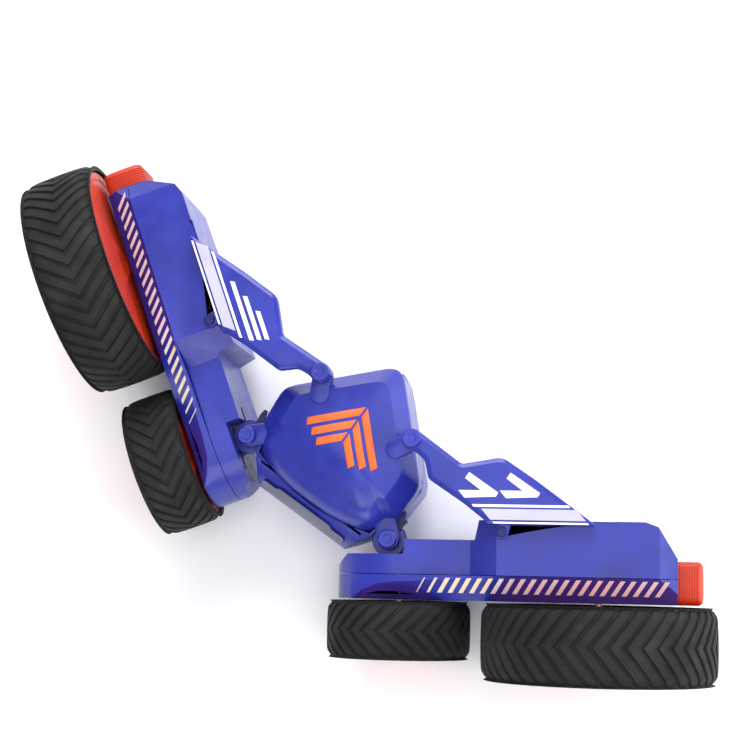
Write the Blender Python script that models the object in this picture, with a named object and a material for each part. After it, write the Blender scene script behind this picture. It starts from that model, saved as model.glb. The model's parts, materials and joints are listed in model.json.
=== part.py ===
"""Radio-control stunt car: a centre body, two arms that swing on upright hinges, and four driven wheels.

Metres, +X forward, +Y left, +Z up. The origin is on the floor, under the middle of the open car.
Each arm has its own frame on its hinge: X runs along the arm to the rear wheel, Y points inward, Z up.
"""
import math

import bmesh
import bpy
from mathutils import Matrix, Vector

# ---- Driving dimensions --------------------------------------------------------------------------
GAP = 0.0003                      # gap kept between touching pieces
WALL = 0.0022                     # thickness of the moulded shells
HINGE = Vector((0.00706, 0.0405, 0))      # left arm's hinge axis
ARM_OPEN = math.radians(55)       # swing of an arm from folded to open

REAR_WHEEL_R = 0.0525
FRONT_WHEEL_R = REAR_WHEEL_R * 19 / 30    # same ratio as the axle gears, so all tyres roll at one speed
REAR_WHEEL_W = 0.0335
FRONT_WHEEL_W = 0.0260
GEAR_MODULE = 0.001
FRONT_TEETH, IDLER_TEETH, REAR_TEETH, PINION_TEETH = 19, 23, 30, 10
SWING_MODULE, SWING_TEETH, SWING_IDLER_TEETH = 0.0015, 18, 20
SWING_SECTOR = (43, 139)                                              # toothed part of a hinge gear, deg
KNUCKLE_R = 0.0078                                                    # the rest of its wall

FRONT_AXLE = Vector((0.0036, 0, FRONT_WHEEL_R))
AXLE_SPAN = GEAR_MODULE * (FRONT_TEETH + REAR_TEETH + 6 * IDLER_TEETH) / 2
AXLE_RISE = REAR_WHEEL_R - FRONT_WHEEL_R
REAR_AXLE = FRONT_AXLE + Vector((math.sqrt(AXLE_SPAN ** 2 - AXLE_RISE ** 2), 0, AXLE_RISE))
AXLE_R = 0.0015

ARM_NOSE_R = 0.0283               # round front end of an arm, about the front axle
ARM_OUTER = -0.0270               # outboard face of an arm
ARM_SPLIT = -0.01575              # where its inner and outer shells meet
ARM_NECK = -0.00675               # inboard face beside the hinge
ARM_HUMP = 0.0088                 # inboard face of the hump over the motor
ARM_END = 0.1292                  # far end of the shells
ARM_TOP = 0.0720                  # top of the hump
CAP_END = 0.1409                  # far end of the tail cap
WHEEL_FACE = -0.0280              # inboard face of the wheels
GEAR_PLANE = (-0.0152, -0.0117)   # the drive gears' thickness

FLOOR_Z = 0.0140                  # underside of the centre body
PARTING_Z = 0.0420                # joint between lower shell and canopy
BARREL_R = 0.0200                 # round front of the body
BARREL_X = -0.00335               # its axis, from the hinge line
FIN_PIVOT = Vector((-0.0430, 0.0255, 0))  # left fin's pivot, from the hinge line's middle
FIN_Z = (0.0726, 0.0785)
LUG_TOP = FIN_Z[0] - GAP
FIN_RATIO = 95 / 55               # a fin turns this much more than its arm
GUIDE_PIN = Vector((-0.0328, 0.0816, 0)) # left fin's guide pin with the arms open

SWING_GEAR_Z = (0.0450, 0.0485)
SWING_REACH = SWING_MODULE * (SWING_TEETH + SWING_IDLER_TEETH) / 2   # hinge gear to idler
SWING_IDLER_Y = SWING_MODULE * SWING_IDLER_TEETH / 2                 # the idlers meet on the centreline
SWING_IDLER_X = -math.sqrt(SWING_REACH ** 2 - (HINGE.y - SWING_IDLER_Y) ** 2)
ARM_KNUCKLE_Z = (0.0300, 0.0447)
KNUCKLE_R = 0.0050
PIN_R = 0.0016


# ---- Helpers -------------------------------------------------------------------------------------
def clear_scene():
    for obj in list(bpy.data.objects):
        bpy.data.objects.remove(obj, do_unlink=True)


def material(name, colour, roughness, metallic=0.0):
    mat = bpy.data.materials.get(name) or bpy.data.materials.new(name)
    mat.use_nodes = True
    shader = mat.node_tree.nodes["Principled BSDF"]
    shader.inputs["Base Color"].default_value = (*colour, 1)
    shader.inputs["Roughness"].default_value = roughness
    shader.inputs["Metallic"].default_value = metallic
    return mat


def blue_plastic():
    return material("blue_plastic", (0.035, 0.045, 0.42), 0.35)


def orange_plastic():
    return material("orange_plastic", (0.80, 0.06, 0.01), 0.4)


def tyre_rubber():
    return material("tyre_rubber", (0.03, 0.03, 0.028), 0.8)


def steel():
    return material("steel", (0.6, 0.6, 0.62), 0.3, 1.0)


def gear_plastic():
    return material("gear_plastic", (0.75, 0.75, 0.72), 0.45)


def dark_plastic():
    return material("dark_plastic", (0.03, 0.03, 0.035), 0.5)


def empty(name, location, angle=0.0, parent=None):
    """A frame that pieces hang on."""
    obj = bpy.data.objects.new(name, None)
    obj.location = location
    obj.rotation_euler = (0, 0, angle)
    obj.parent = parent
    bpy.context.scene.collection.objects.link(obj)
    return obj


def add_object(name, bm, mat, parent, side=1, smooth=None):
    """Makes an object of bm. With side -1 the shape is mirrored in Y for the car's right half."""
    if side < 0:
        bmesh.ops.scale(bm, vec=(1, -1, 1), verts=bm.verts)
    bmesh.ops.recalc_face_normals(bm, faces=bm.faces)
    mesh = bpy.data.meshes.new(name)
    bm.to_mesh(mesh)
    bm.free()
    if smooth:
        mesh.shade_smooth()
        mesh.set_sharp_from_angle(angle=math.radians(smooth))
    obj = bpy.data.objects.new(name, mesh)
    obj.parent = parent
    if mat:
        mesh.materials.append(mat)
    bpy.context.scene.collection.objects.link(obj)
    return obj


def combine(obj, bm, operation, side=1):
    """Adds a boolean with a hidden cutter made of bm."""
    number = len(obj.modifiers)
    cutter = add_object(f"{obj.name}_cutter_{number}", bm, None, obj.parent, side)
    cutter.hide_render = True
    cutter.display_type = "WIRE"
    modifier = obj.modifiers.new(f"{operation.lower()}_{number}", "BOOLEAN")
    modifier.object = cutter
    modifier.operation = operation
    modifier.solver = "EXACT"


def prism(points, z0, z1):
    """A flat outline in XY, raised from z0 to z1."""
    bm = bmesh.new()
    bottom = bm.faces.new([bm.verts.new((x, y, z0)) for x, y in points])
    top = bmesh.ops.extrude_face_region(bm, geom=[bottom])["geom"]
    moved = [part for part in top if isinstance(part, bmesh.types.BMVert)]
    bmesh.ops.translate(bm, vec=(0, 0, z1 - z0), verts=moved)
    return bm


def side_prism(points, y0, y1):
    """A flat outline in XZ, spread from y0 to y1."""
    bm = prism([(x, -z) for x, z in points], y0, y1)
    bmesh.ops.rotate(bm, matrix=Matrix.Rotation(math.radians(-90), 3, "X"), verts=bm.verts)
    return bm


def box(x0, x1, y0, y1, z0, z1):
    return prism([(x0, y0), (x1, y0), (x1, y1), (x0, y1)], z0, z1)


def arc(cx, cy, radius, start, end, count):
    """Points on an arc, degrees, both ends included."""
    points = []
    for k in range(count):
        angle = math.radians(start + (end - start) * k / (count - 1))
        points.append((cx + radius * math.cos(angle), cy + radius * math.sin(angle)))
    return points


def disc(cx, cy, radius, z0, z1, count=16):
    return prism(arc(cx, cy, radius, 0, 360 - 360 / count, count), z0, z1)


def capsule(a, b, radius, z0, z1, count=9):
    """A round-ended bar between points a and b."""
    heading = math.degrees(math.atan2(b[1] - a[1], b[0] - a[0]))
    outline = arc(a[0], a[1], radius, heading + 90, heading + 270, count)
    outline += arc(b[0], b[1], radius, heading - 90, heading + 90, count)
    return prism(outline, z0, z1)


def turned(profile, count, closed=False):
    """A profile of (radius, y) points turned about the Y axis; open profiles start and end on the axis."""
    bm = bmesh.new()
    verts = [bm.verts.new((radius, y, 0)) for radius, y in profile]
    edges = [bm.edges.new(pair) for pair in zip(verts, verts[1:])]
    if closed:
        edges.append(bm.edges.new((verts[-1], verts[0])))
    bmesh.ops.spin(bm, geom=verts + edges, cent=(0, 0, 0), axis=(0, 1, 0), angle=math.tau, steps=count,
                   use_duplicate=False)
    bmesh.ops.remove_doubles(bm, verts=bm.verts, dist=0.00001)
    return bm


def loft(rings, apex=None):
    """Joins rings of points, each with the same number, and closes both ends."""
    bm = bmesh.new()
    loops = [[bm.verts.new(point) for point in ring] for ring in rings]
    count = len(loops[0])
    for low, high in zip(loops, loops[1:]):
        for k in range(count):
            nxt = (k + 1) % count
            bm.faces.new((low[k], low[nxt], high[nxt], high[k]))
    bm.faces.new(list(reversed(loops[0])))
    if apex is None:
        bm.faces.new(loops[-1])
    else:
        peak = bm.verts.new(apex)
        for k in range(count):
            bm.faces.new((loops[-1][k], loops[-1][(k + 1) % count], peak))
    return bm


def gear_outline(teeth, module, phase=0.0):
    """Straight-sided teeth with clearance at the tip, root and flanks."""
    pitch = math.tau / teeth
    radius = teeth * module / 2
    tip, root = radius + 0.7 * module, radius - 1.15 * module
    corners = ((-0.29, root), (-0.10, tip), (0.10, tip), (0.29, root))
    points = []
    for tooth in range(teeth):
        for share, reach in corners:
            angle = phase + (tooth + share) * pitch
            points.append((reach * math.cos(angle), reach * math.sin(angle)))
    return points


def sector_outline(points, start, end, knuckle):
    """Keeps the teeth between two angles, in degrees; elsewhere the wall is a plain round knuckle."""
    outline = []
    for x, y in points:
        angle = math.degrees(math.atan2(y, x)) % 360
        share = 1 if start <= angle <= end else knuckle / math.hypot(x, y)
        outline.append((x * share, y * share))
    return outline


def gear_along_y(teeth, module, phase, bore, y0, y1):
    """A gear whose axis is Y, at the frame's origin; phase is measured in XZ."""
    bm = side_prism(gear_outline(teeth, module, phase), y0, y1)
    return bm, side_prism(arc(0, 0, bore, 0, 330, 12), y0 - 0.001, y1 + 0.001)


def meshing_phase(phase, teeth, direction, other_teeth):
    """Phase of the gear that lies in the given direction from this one, so that teeth meet gaps."""
    turn = (direction - phase) * teeth / math.tau
    return direction + math.pi - (0.5 - turn) * math.tau / other_teeth


# ---- Wheels --------------------------------------------------------------------------------------
def tyre_profile(radius, width):
    """Closed section of a tyre, from its inboard face at y 0 to -width."""
    inner, shoulder = radius * 0.945, width * 0.16
    outline = [(inner, 0), (radius * 0.965, 0), (radius * 0.99, -shoulder * 0.45), (radius, -shoulder)]
    outline += [(radius, -width + shoulder), (radius * 0.99, -width + shoulder * 0.45)]
    outline += [(radius * 0.965, -width), (inner, -width)]
    return outline


def hub_profile(radius, width):
    """Section of a deep hub: a barrel under the tyre, a dished face and a bored boss."""
    rim = radius * 0.945 - GAP
    face = -width + 0.0008
    back = face + 0.0022
    boss = back + 0.0100
    bore = AXLE_R + GAP
    return [(0, back + 0.001), (bore, back + 0.001), (bore, boss), (0.0042, boss), (0.0042, back),
            (rim - 0.002, back), (rim - 0.002, -0.0006), (rim, -0.0006), (rim, -width + 0.0006),
            (rim - 0.0024, face), (0, face + 0.0006)]


def plate_profile(radius):
    """Closed section of the disc that closes the hub's inboard side, bored for the axle."""
    edge, bore = radius * 0.945 - 0.002 - 2 * GAP, AXLE_R + GAP
    return [(bore, -0.0008), (edge, -0.0008), (edge, -0.0026), (bore, -0.0026)]


def build_wheel(label, side_name, side, arm, axle, radius, width, axle_inner, teeth, phase):
    """Tyre, hub, axle and axle gear on one frame that turns."""
    frame = empty(f"{label}_wheel_{side_name}_frame", (axle.x, 0, axle.z), parent=arm)
    segments = 40 if radius > 0.04 else 32
    for name, profile, mat, closed in (("tyre", tyre_profile(radius, width), tyre_rubber(), True),
                                       ("hub", hub_profile(radius, width), orange_plastic(), False),
                                       ("hub_plate", plate_profile(radius), orange_plastic(), True)):
        shifted = [(r, y + WHEEL_FACE) for r, y in profile]
        add_object(f"{label}_{name}_{side_name}", turned(shifted, segments, closed), mat, frame, side, 35)
    outer_end = WHEEL_FACE - width + 0.0045
    rod = side_prism(arc(0, 0, AXLE_R, 0, 330, 12), outer_end, axle_inner)
    add_object(f"{label}_axle_{side_name}", rod, steel(), frame, side, 35)
    gear, bore = gear_along_y(teeth, GEAR_MODULE, phase, AXLE_R + GAP, *GEAR_PLANE)
    wheel_gear = add_object(f"{label}_axle_gear_{side_name}", gear, gear_plastic(), frame, side)
    combine(wheel_gear, bore, "DIFFERENCE", side)


# ---- Arms ----------------------------------------------------------------------------------------
def arm_side_outline(inset, hump):
    """Side view of an arm in XZ: round nose, low neck, rising to the hump or ridge."""
    nose = ARM_NOSE_R - inset
    end = ARM_END - inset
    top_start, top_end = (0.0380, 0.0500) if hump else (0.0036, 0.0600)
    top = [(top_end, ARM_TOP - inset), (0.1210, ARM_TOP - inset), (end, 0.0655 - inset)]
    if hump:
        top.insert(0, (top_start, FRONT_AXLE.z + nose))
    under = [(end, 0.0330 + inset), (0.1215, 0.0235 + inset)]
    front = arc(FRONT_AXLE.x, FRONT_AXLE.z, nose, 278, 90, 13)
    return front + top + under


def arm_plan_outline(inset):
    """Plan of the inner shell in XY, outboard edge on the split line."""
    chamfer = 0.0058
    nose = FRONT_AXLE.x - ARM_NOSE_R + inset
    neck, beam, hump = ARM_NECK - inset, -inset, ARM_HUMP - inset
    past = 0.002                  # the side view, not the plan, sets the arm's two ends
    return [(nose - past, ARM_SPLIT), (ARM_END + past, ARM_SPLIT), (ARM_END + past, -0.0100 - inset / 2),
            (0.1205, 0.0068 - inset), (0.1150, hump), (0.0419 + inset, hump), (0.0400 + inset, beam),
            (0.0081 + inset, beam), (0.0081 + inset, neck), (nose + chamfer, neck),
            (nose - past, neck - chamfer - past)]


def guide_slot():
    """Plan of the slot that the fin's guide pin runs in, in the arm's frame."""
    half, steps = 0.0020, 12
    path = []
    for k in range(steps + 1):
        swing = ARM_OPEN * k / steps
        pin = FIN_PIVOT + Matrix.Rotation(swing * FIN_RATIO, 3, "Z") @ (GUIDE_PIN - FIN_PIVOT)
        offset = pin - Vector((0, HINGE.y, 0))
        path.append(Matrix.Rotation(-(math.pi - ARM_OPEN) - swing, 3, "Z") @ offset)
    start = path[0] + (path[0] - path[1]).normalized() * half
    end = path[-1] + (path[-1] - path[-2]).normalized() * half
    path = [start] + path + [end]
    one_side, other_side = [], []
    for k, point in enumerate(path):
        before, after = path[max(k - 1, 0)], path[min(k + 1, len(path) - 1)]
        along = (after - before).normalized()
        one_side.append((point.x - along.y * half, point.y + along.x * half))
        other_side.append((point.x + along.y * half, point.y - along.x * half))
    return one_side + other_side[::-1]


def build_inner_shell(side_name, side, arm):
    outer_edge = ARM_SPLIT + GAP / 2
    past_hump = ARM_HUMP + 0.003
    block = side_prism(arm_side_outline(0, True), outer_edge, past_hump)
    shell = add_object(f"arm_inner_shell_{side_name}", block, blue_plastic(), arm, side)
    combine(shell, prism(arm_plan_outline(0), -0.01, 0.1), "INTERSECT", side)
    cavity = prism(arm_plan_outline(WALL), -0.01, 0.1)
    inner = add_object(f"arm_cavity_{side_name}", side_prism(arm_side_outline(WALL, True), -0.02, past_hump),
                       None, arm, side)
    inner.hide_render = True
    inner.display_type = "WIRE"
    combine(inner, cavity, "INTERSECT", side)
    cut = shell.modifiers.new("hollow", "BOOLEAN")
    cut.object = inner
    cut.operation = "DIFFERENCE"
    cut.solver = "EXACT"
    low, high = ARM_KNUCKLE_Z
    combine(shell, capsule((0, 0), (0, -0.0040), KNUCKLE_R, low, high), "UNION", side)
    combine(shell, disc(0, 0, PIN_R + GAP, low - 0.001, high + 0.001), "DIFFERENCE", side)
    gear_reach = SWING_MODULE * SWING_TEETH / 2 + 0.0014
    gear_room = disc(0, 0, gear_reach, SWING_GEAR_Z[0] - GAP, SWING_GEAR_Z[1] + GAP, 24)
    combine(shell, gear_room, "DIFFERENCE", side)
    combine(shell, prism(guide_slot(), ARM_TOP - WALL - 0.001, ARM_TOP + 0.001), "DIFFERENCE", side)


def build_outer_shell(side_name, side, arm, idlers):
    inner_edge = ARM_SPLIT - GAP / 2
    block = side_prism(arm_side_outline(0, False), ARM_OUTER, inner_edge)
    shell = add_object(f"arm_outer_shell_{side_name}", block, blue_plastic(), arm, side)
    wedge = [(ARM_OUTER - 0.001, ARM_TOP + 0.002), (ARM_OUTER - 0.001, ARM_TOP - 0.0125),
             (inner_edge, ARM_TOP), (inner_edge, ARM_TOP + 0.002)]
    slope = loft([[(-0.03, y, z - 0.0072) for y, z in wedge], [(0.0036, y, z - 0.0072) for y, z in wedge],
                  [(0.0600, y, z) for y, z in wedge], [(0.14, y, z) for y, z in wedge]])
    combine(shell, slope, "DIFFERENCE", side)
    hollow = [(x, min(z, 0.0570)) for x, z in arm_side_outline(WALL, False)]
    combine(shell, side_prism(hollow, ARM_OUTER + WALL, inner_edge + 0.001), "DIFFERENCE", side)
    for axle in (FRONT_AXLE, REAR_AXLE):
        hole = side_prism(arc(axle.x, axle.z, AXLE_R + GAP, 0, 330, 12), ARM_OUTER - 0.001, -0.0235)
        combine(shell, hole, "DIFFERENCE", side)
    for centre in idlers:
        boss = side_prism(arc(centre.x, centre.z, AXLE_R, 0, 330, 12), ARM_OUTER + WALL / 2, GEAR_PLANE[1])
        combine(shell, boss, "UNION", side)


def build_tail_cap(side_name, side, arm):
    """Rounded block that closes the arm's far end."""
    x0 = ARM_END + GAP
    outer = [(x0, ARM_OUTER), (CAP_END - 0.003, ARM_OUTER), (CAP_END, ARM_OUTER + 0.003), (CAP_END, -0.0100),
             (CAP_END - 0.003, -0.0077), (x0, -0.0077)]
    cap = add_object(f"tail_cap_{side_name}", prism(outer, 0.0350, 0.0600), orange_plastic(), arm, side)
    combine(cap, box(x0 - 0.001, CAP_END - WALL, ARM_OUTER + WALL, -0.0077 - WALL, 0.0372, 0.0578),
            "DIFFERENCE", side)


def build_drive(side_name, side, arm):
    """Wheels, drive gears and motor of one arm; returns the idler centres."""
    heading = math.atan2(REAR_AXLE.z - FRONT_AXLE.z, REAR_AXLE.x - FRONT_AXLE.x)
    direction = Vector((math.cos(heading), 0, math.sin(heading)))
    phase = 0.0
    build_wheel("front", side_name, side, arm, FRONT_AXLE, FRONT_WHEEL_R, FRONT_WHEEL_W,
                ARM_NECK - WALL - GAP, FRONT_TEETH, phase)
    teeth, reach, idlers = FRONT_TEETH, 0.0, []
    for name in ("front", "middle", "rear"):
        reach += GEAR_MODULE * (teeth + IDLER_TEETH) / 2
        phase = meshing_phase(phase, teeth, heading, IDLER_TEETH)
        teeth = IDLER_TEETH
        centre = FRONT_AXLE + direction * reach
        idlers.append(centre)
        frame = empty(f"{name}_idler_{side_name}_frame", (centre.x, 0, centre.z), parent=arm)
        gear, bore = gear_along_y(teeth, GEAR_MODULE, phase, AXLE_R + GAP, *GEAR_PLANE)
        idler = add_object(f"{name}_idler_{side_name}", gear, gear_plastic(), frame, side)
        combine(idler, bore, "DIFFERENCE", side)
    rear_phase = meshing_phase(phase, teeth, heading, REAR_TEETH)
    build_wheel("rear", side_name, side, arm, REAR_AXLE, REAR_WHEEL_R, REAR_WHEEL_W, ARM_HUMP - WALL - GAP,
                REAR_TEETH, rear_phase)
    down = -math.pi / 2
    pinion_phase = meshing_phase(phase, teeth, down, PINION_TEETH)
    below = GEAR_MODULE * (IDLER_TEETH + PINION_TEETH) / 2
    motor_at = idlers[-1] - Vector((0, 0, below))
    frame = empty(f"motor_{side_name}_frame", (motor_at.x, 0, motor_at.z), parent=arm)
    pinion, bore = gear_along_y(PINION_TEETH, GEAR_MODULE, pinion_phase, 0.0013, *GEAR_PLANE)
    pinion = add_object(f"motor_pinion_{side_name}", pinion, gear_plastic(), frame, side)
    combine(pinion, bore, "DIFFERENCE", side)
    can = turned([(0, -0.0155), (0.0010, -0.0155), (0.0010, -0.0110), (0.0085, -0.0108), (0.0085, 0.0050),
                  (0.0030, 0.0053), (0, 0.0053)], 20)
    add_object(f"drive_motor_{side_name}", can, steel(), frame, side, 35)
    return idlers


def build_arm(side_name, side):
    hinge = empty(f"arm_{side_name}_frame", (HINGE.x, side * HINGE.y, 0), side * (math.pi - ARM_OPEN))
    idlers = build_drive(side_name, side, hinge)
    build_inner_shell(side_name, side, hinge)
    build_outer_shell(side_name, side, hinge, idlers)
    build_tail_cap(side_name, side, hinge)
    # the phases that make the teeth meet with the arms open, less the arm frame's own turn
    phase = swing_phases()[side_name][0] - (math.pi - ARM_OPEN)
    teeth = gear_outline(SWING_TEETH, SWING_MODULE, phase)
    teeth = sector_outline(teeth, *SWING_SECTOR, KNUCKLE_R)
    gear = add_object(f"swing_gear_{side_name}", prism(teeth, *SWING_GEAR_Z), dark_plastic(), hinge, side)
    combine(gear, disc(0, 0, PIN_R + GAP, 0.04, 0.06), "DIFFERENCE", side)


# ---- Fins ----------------------------------------------------------------------------------------
def build_fin(side_name, side):
    """Flat fin above the arm, on an upright pivot at the canopy, with a guide pin in the arm's slot."""
    location = (HINGE.x + FIN_PIVOT.x, side * FIN_PIVOT.y, 0)
    frame = empty(f"fin_{side_name}_frame", location)
    outline = [(-0.0468, 0.0500), (-0.0585, 0.0616), (-0.0597, 0.0642), (-0.0600, 0.0800), (-0.0592, 0.1135),
               (-0.0315, 0.0739), (-0.0325, 0.0728), (-0.0332, 0.0610), (-0.0328, 0.0418), (-0.0386, 0.0355),
               (-0.0392, 0.0300)]
    points = [(x - FIN_PIVOT.x, y - FIN_PIVOT.y) for x, y in outline]
    points += arc(0, 0, 0.0046, 10, -190, 9)
    fin = add_object(f"fin_{side_name}", prism(points, *FIN_Z), blue_plastic(), frame, side)
    pin = GUIDE_PIN - FIN_PIVOT
    inner_end = pin + Vector((-0.0055, -0.0020, 0))
    combine(fin, capsule((pin.x, pin.y), (inner_end.x, inner_end.y), 0.0030, FIN_Z[0], FIN_Z[0] + 0.0035),
            "UNION", side)
    combine(fin, disc(0, 0, PIN_R + GAP, 0.06, 0.09), "DIFFERENCE", side)
    combine(fin, disc(pin.x, pin.y, 0.0014, 0.06, 0.09, 12), "DIFFERENCE", side)
    guide = turned([(0, 0.0690), (0.0011, 0.0690), (0.0011, 0.0764), (0.0020, 0.0764), (0.0016, 0.0772),
                    (0, 0.0774)], 12)
    bmesh.ops.rotate(guide, matrix=Matrix.Rotation(math.radians(90), 3, "X"), verts=guide.verts)
    bmesh.ops.translate(guide, vec=(pin.x, pin.y, 0), verts=guide.verts)
    add_object(f"guide_pin_{side_name}", guide, steel(), frame, side, 35)


# ---- Centre body ---------------------------------------------------------------------------------
def mirrored_outline(half):
    """Closes a half outline, given from the front's middle to the rear's middle, about the centreline."""
    other = [(x, -y) for x, y in reversed(half) if abs(y) > 1e-9]
    return half + other


def body_plan(inset):
    half = [(0.01665 - inset, 0), (0.01665 - inset, 0.0245 - inset / 2), (0.0035 - inset / 2, 0.0333 - inset),
            (-0.0065, 0.0340 - inset), (-0.0095, 0.0384 - inset), (-0.0262, 0.0390 - inset),
            (-0.0302, 0.0370 - inset * 0.9), (-0.0640 + inset, 0.0035), (-0.0660 + inset, 0)]
    return mirrored_outline(half)


def canopy_plan(inset):
    front = [(0.0082 - inset - 0.0056 * (y / 0.0320) ** 2, y * (1 - inset / 0.04)) for y in
             (0, 0.0080, 0.0160, 0.0240, 0.0320)]
    back = [(-0.0095, 0.0384 - inset), (-0.0262, 0.0390 - inset), (-0.0302, 0.0370 - inset * 0.9),
            (-0.0640 + inset, 0.0035), (-0.0660 + inset, 0)]
    return mirrored_outline(front + [(-0.0065, 0.0340 - inset)] + back)


def canopy_height(x):
    """The top rises from the front lip and levels off at the fin lugs."""
    return min(0.0708, 0.0600 + (0.0080 - x) * 0.27)


def canopy_form(inset, bottom):
    """Canopy volume; a positive inset gives the hollow inside it."""
    base = canopy_plan(inset)
    shoulder = canopy_plan(inset + 0.0006)
    brow = canopy_plan(inset + 0.0085)
    rings = [[(x, y, bottom) for x, y in base],
             [(x, y, canopy_height(x) - 0.0100 - inset) for x, y in shoulder],
             [(x, y, canopy_height(x) - inset) for x, y in brow]]
    return loft(rings, (-0.0250, 0, 0.0722 - inset))


def swing_gear_room(side):
    """The slot that a hinge gear turns in."""
    reach = SWING_MODULE * SWING_TEETH / 2 + 0.0016
    return disc(0, side * HINGE.y, reach, SWING_GEAR_Z[0] - GAP, SWING_GEAR_Z[1] + GAP, 24)


def upper_knuckle(side, extra):
    low, high = 0.0491 - extra, 0.0550 + extra
    return capsule((0, side * HINGE.y), (-0.0070, side * 0.0335), KNUCKLE_R + extra, low, high)


def build_canopy(frame):
    canopy = add_object("canopy_shell", canopy_form(0, PARTING_Z + GAP), blue_plastic(), frame)
    combine(canopy, canopy_form(WALL, PARTING_Z - 0.001), "DIFFERENCE")
    for side in (1, -1):
        pivot = (FIN_PIVOT.x, side * FIN_PIVOT.y)
        root = (FIN_PIVOT.x + 0.0120, side * (FIN_PIVOT.y - 0.0060))
        combine(canopy, capsule(pivot, root, 0.0046, 0.0655, LUG_TOP), "UNION")
        combine(canopy, disc(*pivot, PIN_R + GAP, 0.05, 0.09), "DIFFERENCE")
        idler_at = (SWING_IDLER_X, side * SWING_IDLER_Y)
        reach = SWING_IDLER_Y + 0.0016
        idler_room = disc(*idler_at, reach, SWING_GEAR_Z[0] - GAP, SWING_GEAR_Z[1] + GAP, 24)
        combine(canopy, idler_room, "DIFFERENCE")
        combine(canopy, disc(*idler_at, 0.0020, SWING_GEAR_Z[0] - 0.001, 0.0650, 12), "UNION")
        combine(canopy, swing_gear_room(side), "DIFFERENCE")
        combine(canopy, upper_knuckle(side, 0), "UNION")
        combine(canopy, disc(0, side * HINGE.y, PIN_R + GAP, 0.045, 0.06), "DIFFERENCE")


def build_lower_shell(frame):
    plan = body_plan(0)
    shell = add_object("lower_shell", prism(plan, FLOOR_Z, 0.0565), blue_plastic(), frame)
    centre_z = FLOOR_Z + BARREL_R
    rear = [(-0.0700, PARTING_Z), (-0.0700, FLOOR_Z + 0.0090), (-0.0600, FLOOR_Z)]
    nose = arc(BARREL_X, centre_z, BARREL_R, -90, 90, 15)
    combine(shell, side_prism(rear + nose + [(BARREL_X, PARTING_Z)], -0.05, 0.05), "INTERSECT")
    combine(shell, prism(canopy_plan(-GAP), PARTING_Z, 0.08), "DIFFERENCE")
    hollow = [(-0.0700, 0.0520), (-0.0700, FLOOR_Z + 0.0100), (-0.0600, FLOOR_Z + WALL)]
    hollow += arc(BARREL_X, centre_z, BARREL_R - WALL, -90, 25, 8) + [(0.0060, 0.0520)]
    pocket = add_object("body_cavity", side_prism(hollow, -0.05, 0.05), None, frame)
    pocket.hide_render = True
    pocket.display_type = "WIRE"
    combine(pocket, prism(body_plan(WALL), 0.0, 0.08), "INTERSECT")
    cut = shell.modifiers.new("hollow", "BOOLEAN")
    cut.object = pocket
    cut.operation = "DIFFERENCE"
    cut.solver = "EXACT"
    for side in (1, -1):
        top = ARM_KNUCKLE_Z[0] - GAP
        knuckle = capsule((0, side * HINGE.y), (-0.0060, side * 0.0345), KNUCKLE_R, 0.0240, top)
        combine(shell, knuckle, "UNION")
        combine(shell, disc(0, side * HINGE.y, PIN_R + GAP, 0.0255, 0.0310), "DIFFERENCE")
        combine(shell, swing_gear_room(side), "DIFFERENCE")
        combine(shell, upper_knuckle(side, GAP), "DIFFERENCE")
    combine(shell, box(-0.0133, 0.0093, -0.0273, 0.0273, 0.0100, 0.0180), "DIFFERENCE")
    combine(shell, box(-0.0533, -0.0467, -0.0043, 0.0043, 0.0100, 0.0180), "DIFFERENCE")


def build_battery_bay(frame):
    door = add_object("battery_door", box(-0.0130, 0.0090, -0.0270, 0.0270, FLOOR_Z, FLOOR_Z + 0.0020),
                      blue_plastic(), frame)
    combine(door, disc(-0.0020, 0.0230, 0.0026, FLOOR_Z - 0.001, FLOOR_Z + 0.0012, 12), "DIFFERENCE")
    combine(door, disc(-0.0020, 0.0230, 0.0013, FLOOR_Z, FLOOR_Z + 0.003, 12), "DIFFERENCE")
    screw = turned([(0, FLOOR_Z + 0.0002), (0.0020, FLOOR_Z + 0.0002), (0.0022, FLOOR_Z + 0.0009),
                    (0.0010, FLOOR_Z + 0.0009), (0.0010, 0.0200), (0, 0.0206)], 12)
    bmesh.ops.rotate(screw, matrix=Matrix.Rotation(math.radians(90), 3, "X"), verts=screw.verts)
    bmesh.ops.translate(screw, vec=(-0.0020, 0.0230, 0), verts=screw.verts)
    add_object("door_screw", screw, steel(), frame, smooth=35)
    corner, front, back, left, right = 0.0040, -0.0010, -0.0090, 0.0150, -0.0200
    outline = arc(front, left, corner, 0, 90, 4) + arc(back, left, corner, 90, 180, 4)
    outline += arc(back, right, corner, 180, 270, 4) + arc(front, right, corner, 270, 360, 4)
    battery = prism(outline, 0.0170, 0.0310)
    add_object("battery_pack", battery, material("battery_wrap", (0.05, 0.25, 0.10), 0.4), frame)


def build_electronics(frame):
    board = box(-0.0360, -0.0150, -0.0240, -0.0020, 0.0300, 0.0316)
    add_object("circuit_board", board, material("board_green", (0.02, 0.20, 0.06), 0.5), frame)
    slider = add_object("power_switch", box(-0.0520, -0.0480, -0.0020, 0.0020, 0.0128, 0.0190),
                        dark_plastic(), empty("power_switch_frame", (0, -0.0020, 0), parent=frame))
    combine(slider, box(-0.0540, -0.0460, -0.0005, 0.0005, 0.0120, 0.0132), "DIFFERENCE")


def upright(name, x, y, profile, mat, frame, count=16):
    """A turned piece on an upright axis at x, y."""
    bm = turned(profile, count)
    bmesh.ops.rotate(bm, matrix=Matrix.Rotation(math.radians(90), 3, "X"), verts=bm.verts)
    bmesh.ops.translate(bm, vec=(x, y, 0), verts=bm.verts)
    return add_object(name, bm, mat, frame, smooth=35)


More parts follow.
